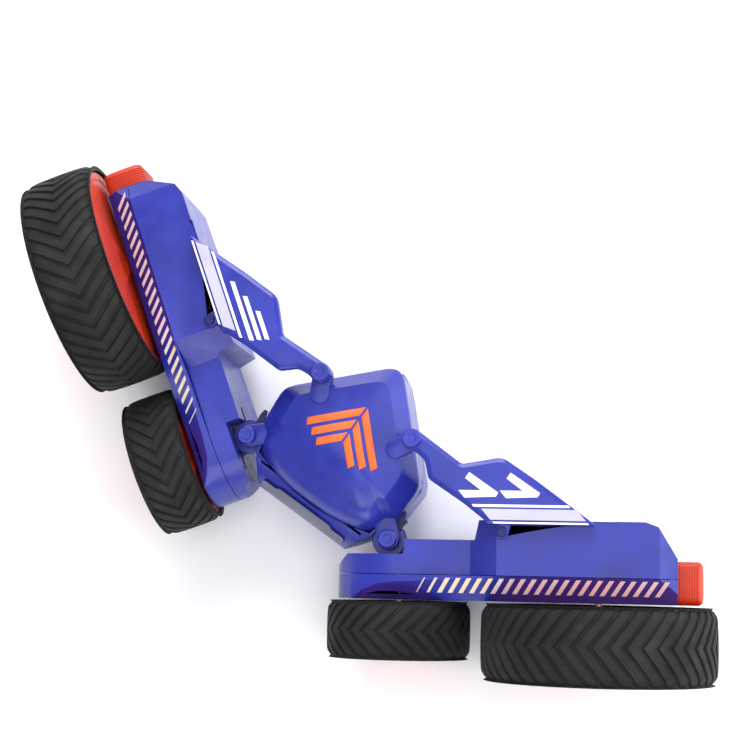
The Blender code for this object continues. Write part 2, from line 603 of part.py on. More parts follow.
def build_pins(frame):
    for side_name, side in (("left", 1), ("right", -1)):
        hinge = [(0, 0.0258), (PIN_R, 0.0258), (PIN_R, 0.0555), (0.0032, 0.0555), (0.0028, 0.0568),
                 (0, 0.0572)]
        upright(f"hinge_pin_{side_name}", 0, side * HINGE.y, hinge, steel(), frame)
        pivot = [(0, 0.0640), (PIN_R, 0.0640), (PIN_R, FIN_Z[1] + GAP), (0.0036, FIN_Z[1] + GAP),
                 (0.0030, FIN_Z[1] + 0.0016), (0, FIN_Z[1] + 0.0020)]
        upright(f"fin_pivot_pin_{side_name}", FIN_PIVOT.x, side * FIN_PIVOT.y, pivot, steel(), frame)


def swing_phases():
    """Phases of the hinge gear and the idler on each side, seen from above and mirrored with the side."""
    to_idler = math.atan2(SWING_IDLER_Y - HINGE.y, SWING_IDLER_X)
    half_tooth = math.pi / SWING_IDLER_TEETH
    phases = {}
    for side_name, idler_phase in (("left", -math.pi / 2), ("right", -math.pi / 2 + half_tooth)):
        hinge_phase = meshing_phase(idler_phase, SWING_IDLER_TEETH, to_idler + math.pi, SWING_TEETH)
        phases[side_name] = (hinge_phase, idler_phase)
    return phases


def build_swing_drive(frame):
    """Two idlers tie the arms' hinge gears together, and a motor turns the left one."""
    for side_name, side in (("left", 1), ("right", -1)):
        centre = (SWING_IDLER_X, side * SWING_IDLER_Y, 0)
        turning = empty(f"swing_idler_{side_name}_frame", centre, parent=frame)
        outline = gear_outline(SWING_IDLER_TEETH, SWING_MODULE, swing_phases()[side_name][1])
        gear = prism(outline, *SWING_GEAR_Z)
        gear = add_object(f"swing_idler_{side_name}", gear, gear_plastic(), turning, side)
        combine(gear, disc(0, 0, 0.0023, 0.04, 0.06, 12), "DIFFERENCE")
    reach = SWING_MODULE * (SWING_IDLER_TEETH + PINION_TEETH) / 2
    motor_x, motor_y = SWING_IDLER_X - reach, SWING_IDLER_Y
    phase = meshing_phase(swing_phases()["left"][1], SWING_IDLER_TEETH, math.pi, PINION_TEETH)
    turning = empty("swing_pinion_frame", (motor_x, motor_y, 0), parent=frame)
    pinion = prism(gear_outline(PINION_TEETH, SWING_MODULE, phase), *SWING_GEAR_Z)
    pinion = add_object("swing_pinion", pinion, gear_plastic(), turning)
    combine(pinion, disc(0, 0, 0.0013, 0.04, 0.06, 12), "DIFFERENCE")
    can = [(0, 0.0166), (0.0090, 0.0166), (0.0090, 0.0400), (0.0030, 0.0400), (0.0030, 0.0415),
           (0.0010, 0.0415), (0.0010, 0.0480), (0, 0.0480)]
    upright("swing_motor", motor_x, motor_y, can, steel(), frame, 24)


def build_trim_bar(frame):
    """Grey bar across the top of the barrel, wide in the middle with narrower round ends."""
    centre_z = FLOOR_Z + BARREL_R
    band = arc(BARREL_X, centre_z, BARREL_R + GAP, 14, 48, 7)
    band += arc(BARREL_X, centre_z, BARREL_R + 0.0012, 48, 14, 7)
    bar = add_object("front_trim_bar", side_prism(band, -0.0245, 0.0245),
                     material("trim_grey", (0.30, 0.30, 0.42), 0.45), frame)
    half = [(0.0160, 0), (0.0160, 0.0145), (0.0152, 0.0160), (0.0152, 0.0225), (0.0144, 0.0236),
            (0.0130, 0.0236), (0.0122, 0.0225), (0.0122, 0.0160), (0.0112, 0.0145), (0.0112, 0)]
    combine(bar, prism(mirrored_outline(half), 0.03, 0.06), "INTERSECT")


def build_body():
    frame = empty("body_frame", (HINGE.x, 0, 0))
    build_lower_shell(frame)
    build_canopy(frame)
    build_trim_bar(frame)
    build_pins(frame)
    build_swing_drive(frame)
    build_battery_bay(frame)
    build_electronics(frame)


def main():
    clear_scene()
    build_body()
    for side_name, side in (("left", 1), ("right", -1)):
        build_arm(side_name, side)
        build_fin(side_name, side)


main()
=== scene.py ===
"""The finished look of a folding radio-control stunt car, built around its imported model.

Metres, +X forward, +Y left, +Z up. Two frames are used below: the body frame starts between the two arm
hinges, and an arm frame starts on its hinge with X running along the arm to the rear wheel and Y inboard.
The right side repeats the left with Y mirrored (side = -1).
"""

import json
import math

import bmesh
import bpy
from mathutils import Matrix, Vector
from mathutils.bvhtree import BVHTree


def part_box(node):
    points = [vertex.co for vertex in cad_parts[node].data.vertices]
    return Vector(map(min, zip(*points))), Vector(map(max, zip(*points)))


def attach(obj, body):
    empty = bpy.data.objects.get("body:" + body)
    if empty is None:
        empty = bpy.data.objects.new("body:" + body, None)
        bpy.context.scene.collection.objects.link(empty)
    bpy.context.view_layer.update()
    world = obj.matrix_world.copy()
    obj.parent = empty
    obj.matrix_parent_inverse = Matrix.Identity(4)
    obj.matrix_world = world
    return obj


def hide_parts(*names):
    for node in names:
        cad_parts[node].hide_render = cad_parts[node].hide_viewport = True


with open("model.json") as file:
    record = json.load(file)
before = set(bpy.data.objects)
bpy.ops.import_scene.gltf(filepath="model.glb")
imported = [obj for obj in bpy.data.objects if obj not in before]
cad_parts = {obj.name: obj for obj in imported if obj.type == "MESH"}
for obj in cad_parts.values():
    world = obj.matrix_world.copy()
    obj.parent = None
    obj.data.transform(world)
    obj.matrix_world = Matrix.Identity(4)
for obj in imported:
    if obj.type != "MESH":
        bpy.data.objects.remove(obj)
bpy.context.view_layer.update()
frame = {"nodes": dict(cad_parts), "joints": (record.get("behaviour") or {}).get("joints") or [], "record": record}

JOINTS = {joint["name"]: joint for joint in frame["joints"]}
SIDES = (("left", 1), ("right", -1))
HINGE = Vector(JOINTS["arm_left_swing"]["pos_m"])
OPEN = math.radians(max(JOINTS["arm_left_swing"]["range_deg"]))
FIN_PIVOT = Vector(JOINTS["fin_left_swing"]["pos_m"])

CAMERA_AT = (-0.0205, 0.1170, 0.7767)
CAMERA_TURN = (-0.05206, 0.21202, 2.18905)      # axis times angle, radians
LENS = 76.27                                    # on a 36 mm sensor

ARM_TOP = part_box("arm_inner_shell_left")[1].z
RIDGE = -0.0159                                 # inboard edge of the dashed face, in the arm frame
FACE_FALL = 0.0125 / 0.0121                     # slope of the dashed face, down to its outboard edge
NOSE_DROP = 0.0072                              # an arm's nose is this much lower than its middle
RISE_FROM, RISE_TO = 0.0036, 0.0600             # the arm's top rises between these places along it
DECAL = 0.00012                                 # thickness of a printed mark
GAP = 0.0002                                    # clearance between parts that turn past each other
ROUND = (352.5, 48)                             # last angle and point count of a whole circle


# ---- Places ------------------------------------------------------------------------------------------------
def arm_matrix(side):
    turn = Matrix.Rotation(side * (math.pi - OPEN), 4, "Z")
    return Matrix.Translation((HINGE.x, side * HINGE.y, 0)) @ turn @ Matrix.Diagonal((1, side, 1, 1))


def body_frame(side):
    """The body frame, mirrored for the right side."""
    return Matrix.Translation((HINGE.x, 0, 0)) @ Matrix.Diagonal((1, side, 1, 1))


def axle(label):
    """Where a left axle crosses the arm frame's XZ plane."""
    at = arm_matrix(1).inverted() @ Vector(JOINTS[f"{label}_wheel_left_spin"]["pos_m"])
    return Vector((at.x, 0, at.z))


# ---- Meshes ------------------------------------------------------------------------------------------------
def piece(name, bm, place, mat, body, smooth=35, replaces=(), ride=True):
    """Puts a mesh into the row frame as a piece of the model."""
    bm.transform(place)
    if place.determinant() < 0:
        bmesh.ops.reverse_faces(bm, faces=bm.faces)
    mesh = bpy.data.meshes.new(name)
    bm.to_mesh(mesh)
    bm.free()
    obj = bpy.data.objects.new(name, mesh)
    bpy.context.scene.collection.objects.link(obj)
    mesh.materials.append(mat)
    if smooth:
        mesh.shade_smooth()
        mesh.set_sharp_from_angle(angle=math.radians(smooth))
    if ride:
        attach(obj, body)
    if replaces:
        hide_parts(*replaces)
    return obj


def rounded(obj, width, segments=3, angle=30):
    """Moulded edges: a small round on every edge sharper than the angle."""
    bevel = obj.modifiers.new("edges", "BEVEL")
    bevel.width = width
    bevel.segments = segments
    bevel.limit_method = "ANGLE"
    bevel.angle_limit = math.radians(angle)
    bevel.harden_normals = True
    bevel.miter_outer = "MITER_ARC"
    return obj


def refined(node, body, mat, width, cut=None, segments=3):
    """A CAD node's shape with its flat faces merged, optional cuts, and rounded edges."""
    bm = bmesh.new()
    bm.from_mesh(frame["nodes"][node].data)
    bmesh.ops.remove_doubles(bm, verts=bm.verts, dist=2e-6)
    bmesh.ops.dissolve_limit(bm, angle_limit=math.radians(0.6), verts=bm.verts, edges=bm.edges)
    clean = bmesh.new()
    corners = {v: clean.verts.new(v.co) for v in bm.verts}
    for face in bm.faces:
        clean.faces.new([corners[v] for v in face.verts])
    bm.free()
    obj = piece(f"{node}_finish", clean, Matrix.Identity(4), mat, body, replaces=(node,))
    for cutter in cut or ():
        combine(obj, cutter, "DIFFERENCE")
    return rounded(obj, width, segments)


def combine(obj, other, operation):
    """Applies an exact boolean with a mesh that is already in the row frame, then drops that mesh."""
    mesh = bpy.data.meshes.new("cutter")
    other.to_mesh(mesh)
    other.free()
    tool = bpy.data.objects.new("cutter", mesh)
    bpy.context.scene.collection.objects.link(tool)
    step = obj.modifiers.new("cut", "BOOLEAN")
    step.object = tool
    step.operation = operation
    step.solver = "EXACT"
    bpy.context.view_layer.update()
    result = bpy.data.meshes.new_from_object(obj.evaluated_get(bpy.context.evaluated_depsgraph_get()))
    obj.modifiers.remove(step)
    old = obj.data
    obj.data = result
    bpy.data.meshes.remove(old)
    bpy.data.objects.remove(tool)


def bake(obj):
    """Applies an object's modifiers to its mesh."""
    bpy.context.view_layer.update()
    result = bpy.data.meshes.new_from_object(obj.evaluated_get(bpy.context.evaluated_depsgraph_get()))
    obj.modifiers.clear()
    obj.data = result


def inset_outline(points, distance):
    """A closed anticlockwise outline moved inwards by a distance, corner by corner."""
    moved = []
    for k, point in enumerate(points):
        at, before, after = Vector(point), Vector(points[k - 1]), Vector(points[(k + 1) % len(points)])
        one, two = (at - before).normalized(), (after - at).normalized()
        normal = Vector((-one.y - two.y, one.x + two.x)).normalized()
        reach = distance / max(normal.dot(Vector((-two.y, two.x))), 0.35)
        moved.append(tuple(at + normal * reach))
    return moved


def soft_outline(points, radii, steps=5):
    """A closed outline whose corners are rounded; each corner becomes the same number of points."""
    outline = []
    for k, point in enumerate(points):
        at, before, after = Vector(point), Vector(points[k - 1]), Vector(points[(k + 1) % len(points)])
        reach_in = min(radii[k], (at - before).length * 0.48)
        reach_out = min(radii[k], (after - at).length * 0.48)
        start = at + (before - at).normalized() * reach_in
        end = at + (after - at).normalized() * reach_out
        for step in range(steps):
            t = step / (steps - 1)
            outline.append(tuple(start * (1 - t) ** 2 + at * 2 * t * (1 - t) + end * t * t))
    return outline


def joined(meshes):
    """One mesh from several separate ones."""
    whole = bmesh.new()
    for bm in meshes:
        mesh = bpy.data.meshes.new("part")
        bm.to_mesh(mesh)
        bm.free()
        whole.from_mesh(mesh)
        bpy.data.meshes.remove(mesh)
    return whole


def placed(bm, place):
    bm.transform(place)
    if place.determinant() < 0:
        bmesh.ops.reverse_faces(bm, faces=bm.faces)
    return bm


def loft(rings, cap=True):
    """Joins equal rings of points, the first and last closed by flat faces."""
    bm = bmesh.new()
    rows = [[bm.verts.new(p) for p in ring] for ring in rings]
    count = len(rows[0])
    for a, b in zip(rows, rows[1:]):
        for k in range(count):
            bm.faces.new((a[k], a[(k + 1) % count], b[(k + 1) % count], b[k]))
    if cap:
        bm.faces.new(rows[0][::-1])
        bm.faces.new(rows[-1])
    bmesh.ops.recalc_face_normals(bm, faces=bm.faces)
    return bm


def prism(points, z0, z1):
    return loft([[(x, y, z) for x, y in points] for z in (z0, z1)])


def turned(profile, count, centre):
    """A closed profile of (radius, y) points turned about a line along Y; no face at radius 0."""
    bm = bmesh.new()
    rows = []
    for r, y in profile:
        if r < 1e-7:
            rows.append([bm.verts.new((centre.x, y, centre.z))] * count)
            continue
        rows.append([bm.verts.new((centre.x + r * math.cos(math.tau * k / count), y,
                                   centre.z + r * math.sin(math.tau * k / count))) for k in range(count)])
    for a, b in zip(rows, rows[1:] + rows[:1]):
        for k in range(count):
            n = (k + 1) % count
            corners = list(dict.fromkeys((a[k], a[n], b[n], b[k])))
            if len(corners) > 2:
                bm.faces.new(corners)
    bmesh.ops.recalc_face_normals(bm, faces=bm.faces)
    return bm


def arc(cx, cy, radius, start, end, count):
    turns = [math.radians(start + (end - start) * k / (count - 1)) for k in range(count)]
    return [(cx + radius * math.cos(t), cy + radius * math.sin(t)) for t in turns]


# ---- Materials ---------------------------------------------------------------------------------------------
def nodes_of(name):
    mat = bpy.data.materials.new(name)
    mat.use_nodes = True
    return mat, mat.node_tree.nodes, mat.node_tree.links


def noise(nodes, links, scale, detail, coordinates):
    texture = nodes.new("ShaderNodeTexNoise")
    texture.inputs["Scale"].default_value = scale
    texture.inputs["Detail"].default_value = detail
    links.new(coordinates, texture.inputs["Vector"])
    return texture.outputs["Fac"]


def spread(nodes, links, value, low, high):
    """Maps a 0 to 1 pattern onto low to high."""
    ramp = nodes.new("ShaderNodeMapRange")
    ramp.inputs["From Min"].default_value = 0.3
    ramp.inputs["From Max"].default_value = 0.7
    ramp.inputs["To Min"].default_value = low
    ramp.inputs["To Max"].default_value = high
    links.new(value, ramp.inputs["Value"])
    return ramp.outputs["Result"]


def finish_material(name, light, dark, roughness, grain, bump, metallic=0.0, coat=0.0, edge_highlight=None, clouds=60):
    """Principled material that drifts between two tones, with a grain, uneven gloss and a painted highlight on
    sharp edges.
    """
    mat, nodes, links = nodes_of(name)
    shader = nodes["Principled BSDF"]
    shader.inputs["Metallic"].default_value = metallic
    shader.inputs["Coat Weight"].default_value = coat
    shader.inputs["Coat Roughness"].default_value = 0.18
    shader.inputs["Specular IOR Level"].default_value = 0.38
    place = nodes.new("ShaderNodeTexCoord").outputs["Object"]
    drift = noise(nodes, links, clouds, 2, place)
    tone = nodes.new("ShaderNodeMix")
    tone.data_type = "RGBA"
    tone.inputs["A"].default_value = (*dark, 1)
    tone.inputs["B"].default_value = (*light, 1)
    links.new(spread(nodes, links, drift, 0, 1), tone.inputs["Factor"])
    colour = tone.outputs["Result"]
    # Sharp convex edges are mixed towards a paler colour: a painted highlight along the edges.
    if edge_highlight:
        edge = nodes.new("ShaderNodeMapRange")
        edge.inputs["From Min"].default_value = 0.56
        edge.inputs["From Max"].default_value = 0.68
        edge.inputs["To Max"].default_value = 0.22
        links.new(nodes.new("ShaderNodeNewGeometry").outputs["Pointiness"], edge.inputs["Value"])
        highlighted = nodes.new("ShaderNodeMix")
        highlighted.data_type = "RGBA"
        highlighted.inputs["B"].default_value = (*edge_highlight, 1)
        links.new(edge.outputs["Result"], highlighted.inputs["Factor"])
        links.new(colour, highlighted.inputs["A"])
        colour = highlighted.outputs["Result"]
    links.new(colour, shader.inputs["Base Color"])
    smudge = noise(nodes, links, clouds * 2, 2, place)
    links.new(spread(nodes, links, smudge, roughness * 0.82, roughness * 1.2), shader.inputs["Roughness"])
    relief = nodes.new("ShaderNodeBump")
    relief.inputs["Strength"].default_value = bump
    relief.inputs["Distance"].default_value = 0.00006
    links.new(noise(nodes, links, grain, 3, place), relief.inputs["Height"])
    links.new(relief.outputs["Normal"], shader.inputs["Normal"])
    return mat


BLUE = finish_material("blue_plastic", (0.019, 0.028, 0.32), (0.014, 0.020, 0.24), 0.32, 2600, 0.05,
                       coat=0.12, edge_highlight=(0.14, 0.17, 0.60))
# A darker blue that stands for blue plastic in shade: painted shade, used on the swing gears' teeth inside the
# hinges and on the guide pins' caps.
SHADE_BLUE = finish_material("shade_blue_plastic", (0.010, 0.014, 0.12), (0.007, 0.010, 0.08), 0.42, 2600, 0.16)
ORANGE = finish_material("orange_plastic", (0.56, 0.038, 0.007), (0.48, 0.029, 0.006), 0.42, 2200, 0.10,
                         coat=0.10, edge_highlight=(0.90, 0.18, 0.06))
RUBBER = finish_material("tyre_rubber", (0.0095, 0.0095, 0.0090), (0.0055, 0.0055, 0.0055), 0.80, 3400, 1.0,
                         clouds=45)
WHITE_PRINT = finish_material("white_print", (0.86, 0.85, 0.88), (0.78, 0.77, 0.82), 0.42, 3000, 0.08)
PALE_PRINT = finish_material("pale_band_print", (0.46, 0.45, 0.55), (0.40, 0.39, 0.50), 0.38, 3000, 0.08)
CREAM_PRINT = finish_material("cream_print", (0.88, 0.74, 0.56), (0.80, 0.66, 0.50), 0.42, 3000, 0.08)
ORANGE_PRINT = finish_material("orange_print", (0.80, 0.135, 0.022), (0.72, 0.11, 0.018), 0.40, 3000, 0.08)
# The trim bar's grey is set darker than the bar's own pale grey: partly its colour, partly painted shade for the
# shade it sits in.
GREY = finish_material("trim_grey", (0.135, 0.14, 0.20), (0.10, 0.105, 0.16), 0.42, 2400, 0.2, coat=0.2,
                       edge_highlight=(0.46, 0.47, 0.58))
STEEL = finish_material("steel", (0.62, 0.62, 0.63), (0.50, 0.50, 0.52), 0.28, 1800, 0.1, metallic=1.0)
GEAR = finish_material("gear_plastic", (0.78, 0.76, 0.70), (0.70, 0.68, 0.62), 0.5, 2000, 0.15)
BLACK = finish_material("black_plastic", (0.020, 0.020, 0.022), (0.012, 0.012, 0.014), 0.45, 2600, 0.25)
WRAP = finish_material("battery_wrap", (0.05, 0.27, 0.11), (0.04, 0.20, 0.08), 0.35, 1500, 0.1, coat=0.3)
BOARD = finish_material("board_green", (0.02, 0.22, 0.07), (0.015, 0.16, 0.05), 0.45, 1500, 0.15, coat=0.3)
SLOT_MATERIALS = {"blue_plastic": BLUE, "orange_plastic": ORANGE, "tyre": RUBBER, "gear_plastic": GEAR,
                  "steel": STEEL, "trim_grey": GREY, "battery_wrap": WRAP, "board": BOARD,
                  "black_plastic": BLACK}


def dress_cad_nodes():
    """Gives every CAD node the material of its slot, but the swing gears a darker blue of painted shade; the
    pieces below then replace what shows.
    """
    for part in frame["record"]["subparts"]:
        mat = SHADE_BLUE if part["node"].startswith("swing_gear") else SLOT_MATERIALS[part["material_slot"]]
        node = frame["nodes"][part["node"]]
        node.data.materials.clear()
        node.data.materials.append(mat)


# ---- Wheels ------------------------------------------------------------------------------------------------
def tyre(radius, inboard, width, lugs, centre):
    """Tyre with a crowned tread of herringbone lugs; the mesh lines follow the grooves' walls."""
    groove = 0.0011
    cells = ((0.00, 0), (0.07, 1), (0.36, 1), (0.43, 0), (0.72, 0))
    across = [k / 9 for k in range(-9, 10)]
    lean = 1.9                                   # lug pitches that a groove runs along, from middle to edge
    bm = bmesh.new()
    rows = []
    middle = inboard - width / 2
    seat = radius * 0.945
    for s in across:
        crown = radius * (1 - 0.012 * s * s) - 0.0030 * max(0, (abs(s) - 0.70) / 0.30) ** 2
        depth = groove * (1 - 0.75 * max(0, (abs(s) - 0.86) / 0.14))
        row = []
        for n in range(lugs):
            for share, low in cells:
                turn = math.tau * (n + share - lean * abs(s)) / lugs
                r = crown - depth * low
                row.append((centre.x + r * math.cos(turn), middle - s * width / 2,
                            centre.z + r * math.sin(turn)))
        rows.append(row)
    count = len(rows[0])

    def ring(r, y, like):
        lead = math.tau * -lean * abs(like) / lugs
        return [(centre.x + r * math.cos(math.tau * k / count + lead), y,
                 centre.z + r * math.sin(math.tau * k / count + lead)) for k in range(count)]

    lip = 0.0007
    outboard = inboard - width
    rows.insert(0, ring(radius * 0.972, inboard, 1))
    rows.insert(0, ring(seat + lip, inboard, 1))
    rows.insert(0, ring(seat, inboard - lip, 1))
    rows.append(ring(radius * 0.972, outboard, 1))
    rows.append(ring(seat + lip, outboard, 1))
    rows.append(ring(seat, outboard + lip, 1))
    verts = [[bm.verts.new(p) for p in row] for row in rows]
    for a, b in zip(verts, verts[1:] + verts[:1]):
        for k in range(count):
            n = (k + 1) % count
            bm.faces.new((a[k], a[n], b[n], b[k]))
    bmesh.ops.recalc_face_normals(bm, faces=bm.faces)
    return bm


def wheel_disc(radius, face, inward, spokes, centre):
    """Pressed wheel face: raised rim, shallow dish, folded star of spokes and a round cap."""
    rim = radius * 0.945 - 0.0003
    rings = [(0.0, 0.0010, 0), (0.085, 0.0010, 0), (0.115, 0.0004, 0), (0.17, -0.0004, 1), (0.45, -0.0005, 1),
             (0.80, -0.0006, 1), (0.90, -0.0007, 0), (0.925, 0.0, 0), (0.975, 0.0002, 0), (1.0, -0.0008, 0)]
    steps = 8                                    # mesh columns for each spoke
    count = spokes * steps
    bm = bmesh.new()
    rows = []
    for share, height, fold in rings:
        row = []
        for k in range(count):
            crease = (0.0012 if k % steps == 0 else 0.0003 if k % steps in (1, steps - 1) else 0) * fold
            turn = math.tau * k / count
            y = face + inward * -(height + crease * (1 - 0.55 * share))
            row.append((centre.x + rim * share * math.cos(turn), y, centre.z + rim * share * math.sin(turn)))
        rows.append(row)
    hub = bm.verts.new((centre.x, rows[0][0][1], centre.z))
    verts = [[hub] * count] + [[bm.verts.new(p) for p in row] for row in rows[1:]]
    back = [bm.verts.new((p[0], face + inward * 0.0030, p[2])) for p in rows[-1]]
    verts.append(back)
    tail = bm.verts.new((centre.x, face + inward * 0.0030, centre.z))
    verts.append([tail] * count)
    for a, b in zip(verts, verts[1:]):
        for k in range(count):
            n = (k + 1) % count
            corners = list(dict.fromkeys((a[k], a[n], b[n], b[k])))
            bm.faces.new(corners)
    bmesh.ops.recalc_face_normals(bm, faces=bm.faces)
    return bm


def build_wheel(label, side_name, side):
    centre = axle(label)
    node = f"{label}_tyre_left"
    low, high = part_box(node)
    radius = (high.z - low.z) / 2
    spans = [(arm_matrix(1).inverted() @ v.co).y for v in frame["nodes"][node].data.vertices]
    inboard, width = max(spans), max(spans) - min(spans)
    body = f"{label}_wheel_{side_name}"
    place = arm_matrix(side)
    lugs = 46 if radius > 0.04 else 29
    piece(f"{label}_tyre_{side_name}_tread", tyre(radius, inboard, width, lugs, centre), place, RUBBER, body,
          smooth=32, replaces=(f"{label}_tyre_{side_name}",))
    recess, spokes = 0.0012, 6
    for part, face, inward, node in (("face", inboard - width + recess, 1, "hub"),
                                     ("back", inboard - recess, -1, "hub_plate")):
        disc = wheel_disc(radius, face, inward, spokes, centre)
        piece(f"{label}_wheel_{part}_{side_name}", disc, place, ORANGE, body, smooth=25,
              replaces=(f"{label}_{node}_{side_name}",))


# ---- Arms --------------------------------------------------------------------------------------------------
def face_height(along, inward):
    """Height of the sloping dashed face."""
    rise = min(max((along - RISE_FROM) / (RISE_TO - RISE_FROM), 0), 1)
    return ARM_TOP - NOSE_DROP * (1 - rise) - FACE_FALL * (RIDGE - inward)


def patch_on_face(corners, lift=0.0001):
    """A printed mark on the dashed face, given by its corners (along, inward)."""
    return loft([[(x, y, face_height(x, y) + lift + up) for x, y in corners] for up in (0, DECAL)])


def dash_row(side_name, side):
    """White slanted dashes along the outboard face; the first few are thin and cream."""
    first, pitch, count = 0.0136, 0.0048, 23
    top, bottom, slant = -0.0170, -0.0236, 0.0042
    for group, members, mat in (("cream", range(7), CREAM_PRINT), ("white", range(7, count), WHITE_PRINT)):
        marks = []
        for k in members:
            width = (0.0006, 0.0013, 0.0021)[min(k, 2)]
            x = first + pitch * k
            marks.append(patch_on_face([(x, bottom), (x + width, bottom), (x + width + slant, top),
                                        (x + slant, top)]))
        piece(f"{group}_dashes_{side_name}", joined(marks), arm_matrix(side), mat, f"arm_{side_name}",
              smooth=None)


def deck_cut(side):
    """Lowers the arm's inboard deck and leaves a sloping band up to the ridge."""
    deep, step = 0.0015, -0.0092
    ends = ((-0.0300, -NOSE_DROP), (RISE_FROM, -NOSE_DROP), (0.0380, -0.0028), (0.0520, 0.0030))
    rings = []
    for along, drop in ends:
        top = ARM_TOP + drop
        rings.append([(along, RIDGE + 0.0004, top + 0.004), (along, RIDGE + 0.0004, top),
                      (along, step, top - deep), (along, 0.0160, top - deep), (along, 0.0160, top + 0.004)])
    return placed(loft(rings), arm_matrix(side))


def tail_cap(side_name, side):
    """Ribbed block at the arm's far end: a row of rounded slices, thin and thick in turn."""
    low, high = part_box("tail_cap_left")
    spots = [arm_matrix(1).inverted() @ v.co for v in frame["nodes"]["tail_cap_left"].data.vertices]
    start, end = min(v.x for v in spots), max(v.x for v in spots)
    outer, inner = min(v.y for v in spots), max(v.y for v in spots)
    ribs, depth, corner = 8, 0.00035, 0.0026
    pitch = (end - corner - start) / ribs
    cuts = [(start, 0.0)]
    for k in range(ribs):
        x = start + pitch * (k + 0.5)
        cuts += [(x - 0.00032, 0.0), (x - 0.00022, depth), (x + 0.00022, depth), (x + 0.00032, 0.0)]
    for k in range(6):
        turn = math.radians(18 * k)
        cuts.append((end - corner + corner * math.sin(turn), corner * (1 - math.cos(turn))))
    rings = []
    for x, inset in cuts:
        square = [(outer + inset, low.z + inset), (inner - inset, low.z + inset),
                  (inner - inset, high.z - inset), (outer + inset, high.z - inset)]
        rings.append([(x, y, z) for y, z in soft_outline(square, [0.0030] * 4)])
    piece(f"tail_cap_{side_name}_ribbed", loft(rings), arm_matrix(side), ORANGE, f"arm_{side_name}",
          replaces=(f"tail_cap_{side_name}",))


def build_arm(side_name, side):
    body = f"arm_{side_name}"
    refined(f"arm_inner_shell_{side_name}", body, BLUE, 0.0009, cut=[deck_cut(side)])
    refined(f"arm_outer_shell_{side_name}", body, BLUE, 0.0020, segments=4)
    tail_cap(side_name, side)
    dash_row(side_name, side)


# ---- Fins --------------------------------------------------------------------------------------------------
# The fin's plan from the middle of the hinge line, anticlockwise, left side; its root circles the pivot.
FIN_PLAN = ((-0.0392, 0.0300), (-0.0386, 0.0355), (-0.0328, 0.0418), (-0.0332, 0.0610), (-0.0325, 0.0728),
            (-0.0315, 0.0739), (-0.0592, 0.1135), (-0.0600, 0.0800), (-0.0597, 0.0642), (-0.0585, 0.0616),
            (-0.0468, 0.0500))


def fin_plate(side_name, side):
    """The fin's plate: a chamfered border falls from a raised flat to its edges."""
    low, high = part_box(f"fin_{side_name}")
    pivot = FIN_PIVOT - Vector((HINGE.x, 0, 0))
    root = arc(pivot.x, pivot.y, 0.0046, 190, 370, 7)
    outline = list(FIN_PLAN) + root
    radii = [0.0016] * len(FIN_PLAN) + [0.0004] * len(root)
    edge, border, fall = 0.0005, 0.0019, 0.0011
    rings = []
    levels = ((edge, low.z), (0.0, low.z + edge), (0.0, high.z - fall - edge), (edge / 2, high.z - fall),
              (border, high.z - 0.0001), (border + edge, high.z))
    for inset, z in levels:
        plan = soft_outline(inset_outline(outline, inset), radii, 4)
        rings.append([(x, y, z) for x, y in plan])
    plate = piece(f"fin_{side_name}_plate", loft(rings), body_frame(side), BLUE, f"fin_{side_name}",
                  smooth=28, replaces=(f"fin_{side_name}",))
    pin = placed(prism(arc(pivot.x, pivot.y, 0.0019, 0, 345, 24), 0, 0.1), body_frame(side))
    combine(plate, pin, "DIFFERENCE")


def fin_marks(side_name, side):
    """Printed stripes that run with the fin's outer end, and a pair of chevrons or plain bars."""
    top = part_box(f"fin_{side_name}")[1].z + 0.00003
    along = Vector((-math.cos(OPEN), math.sin(OPEN)))
    inward = Vector((-math.sin(OPEN), -math.cos(OPEN)))
    root = Vector((0, HINGE.y))

    def spot(a, b):
        return tuple(root + along * a + inward * b)

    def stripe(near, far, lead, trail, lean_in, lean_out):
        return prism([spot(lead, near), spot(trail, near), spot(trail - lean_out, far),
                      spot(lead - lean_in, far)], top, top + DECAL)

    place, body = body_frame(side), f"fin_{side_name}"
    pale = stripe(0.0085, 0.0133, 0.0474, 0.0890, 0.0040, 0.0040)
    piece(f"fin_band_{side_name}", pale, place, PALE_PRINT, body, smooth=None)
    lines = [stripe(0.0069, 0.0077, 0.0490, 0.0903, 0.0006, 0.0006),
             stripe(0.0141, 0.0152, 0.0400, 0.0822, 0.0008, 0.0008)]
    marks = []
    if side > 0:
        for a, b in ((0.0498, 0.0186), (0.0680, 0.0186)):
            leg, deep, thick = 0.0138, 0.0092, 0.0027
            marks.append(prism([spot(a, b), spot(a - leg, b - 0.0006), spot(a - leg - thick, b + thick),
                                spot(a - 0.0065, b + thick), spot(a - 0.0136, b + deep - 0.0012),
                                spot(a - 0.0118, b + deep + 0.0014), spot(a + 0.0010, b + 0.0018)][::-1],
                               top, top + DECAL))
    else:
        for k in range(3):
            marks.append(stripe(0.0180 + 0.0034 * k, 0.0199 + 0.0034 * k, 0.0372 - 0.0010 * k,
                                0.0660 - 0.0085 * k, 0.0010, 0.0010))
    piece(f"fin_marks_{side_name}", joined(lines + marks), place, WHITE_PRINT, body,
          smooth=None)


def build_fin(side_name, side):
    fin_plate(side_name, side)
    fin_marks(side_name, side)


# ---- Centre body -------------------------------------------------------------------------------------------
# Half of the canopy's plan in the body frame, from the front lip to the rear tip, with corner radii.
CANOPY_PLAN = ((0.0080, 0.0100, 0.0060), (0.0058, 0.0230, 0.0060), (0.0026, 0.0320, 0.0040),
               (-0.0065, 0.0340, 0.0010), (-0.0095, 0.0384, 0.0010), (-0.0262, 0.0390, 0.0050),
               (-0.0302, 0.0370, 0.0040), (-0.0650, 0.0028, 0.0052))
CANOPY_DEEP = 0.0100                            # height of the sloping border
CANOPY_BORDER = 0.0085                          # its width in plan
CANOPY_PEAK = Vector((-0.0250, 0, 0.0722))


def canopy_top(x):
    """Height of the canopy's brow, which rises from the front lip and levels off."""
    return min(0.0708, 0.0600 + (0.0080 - x) * 0.27)


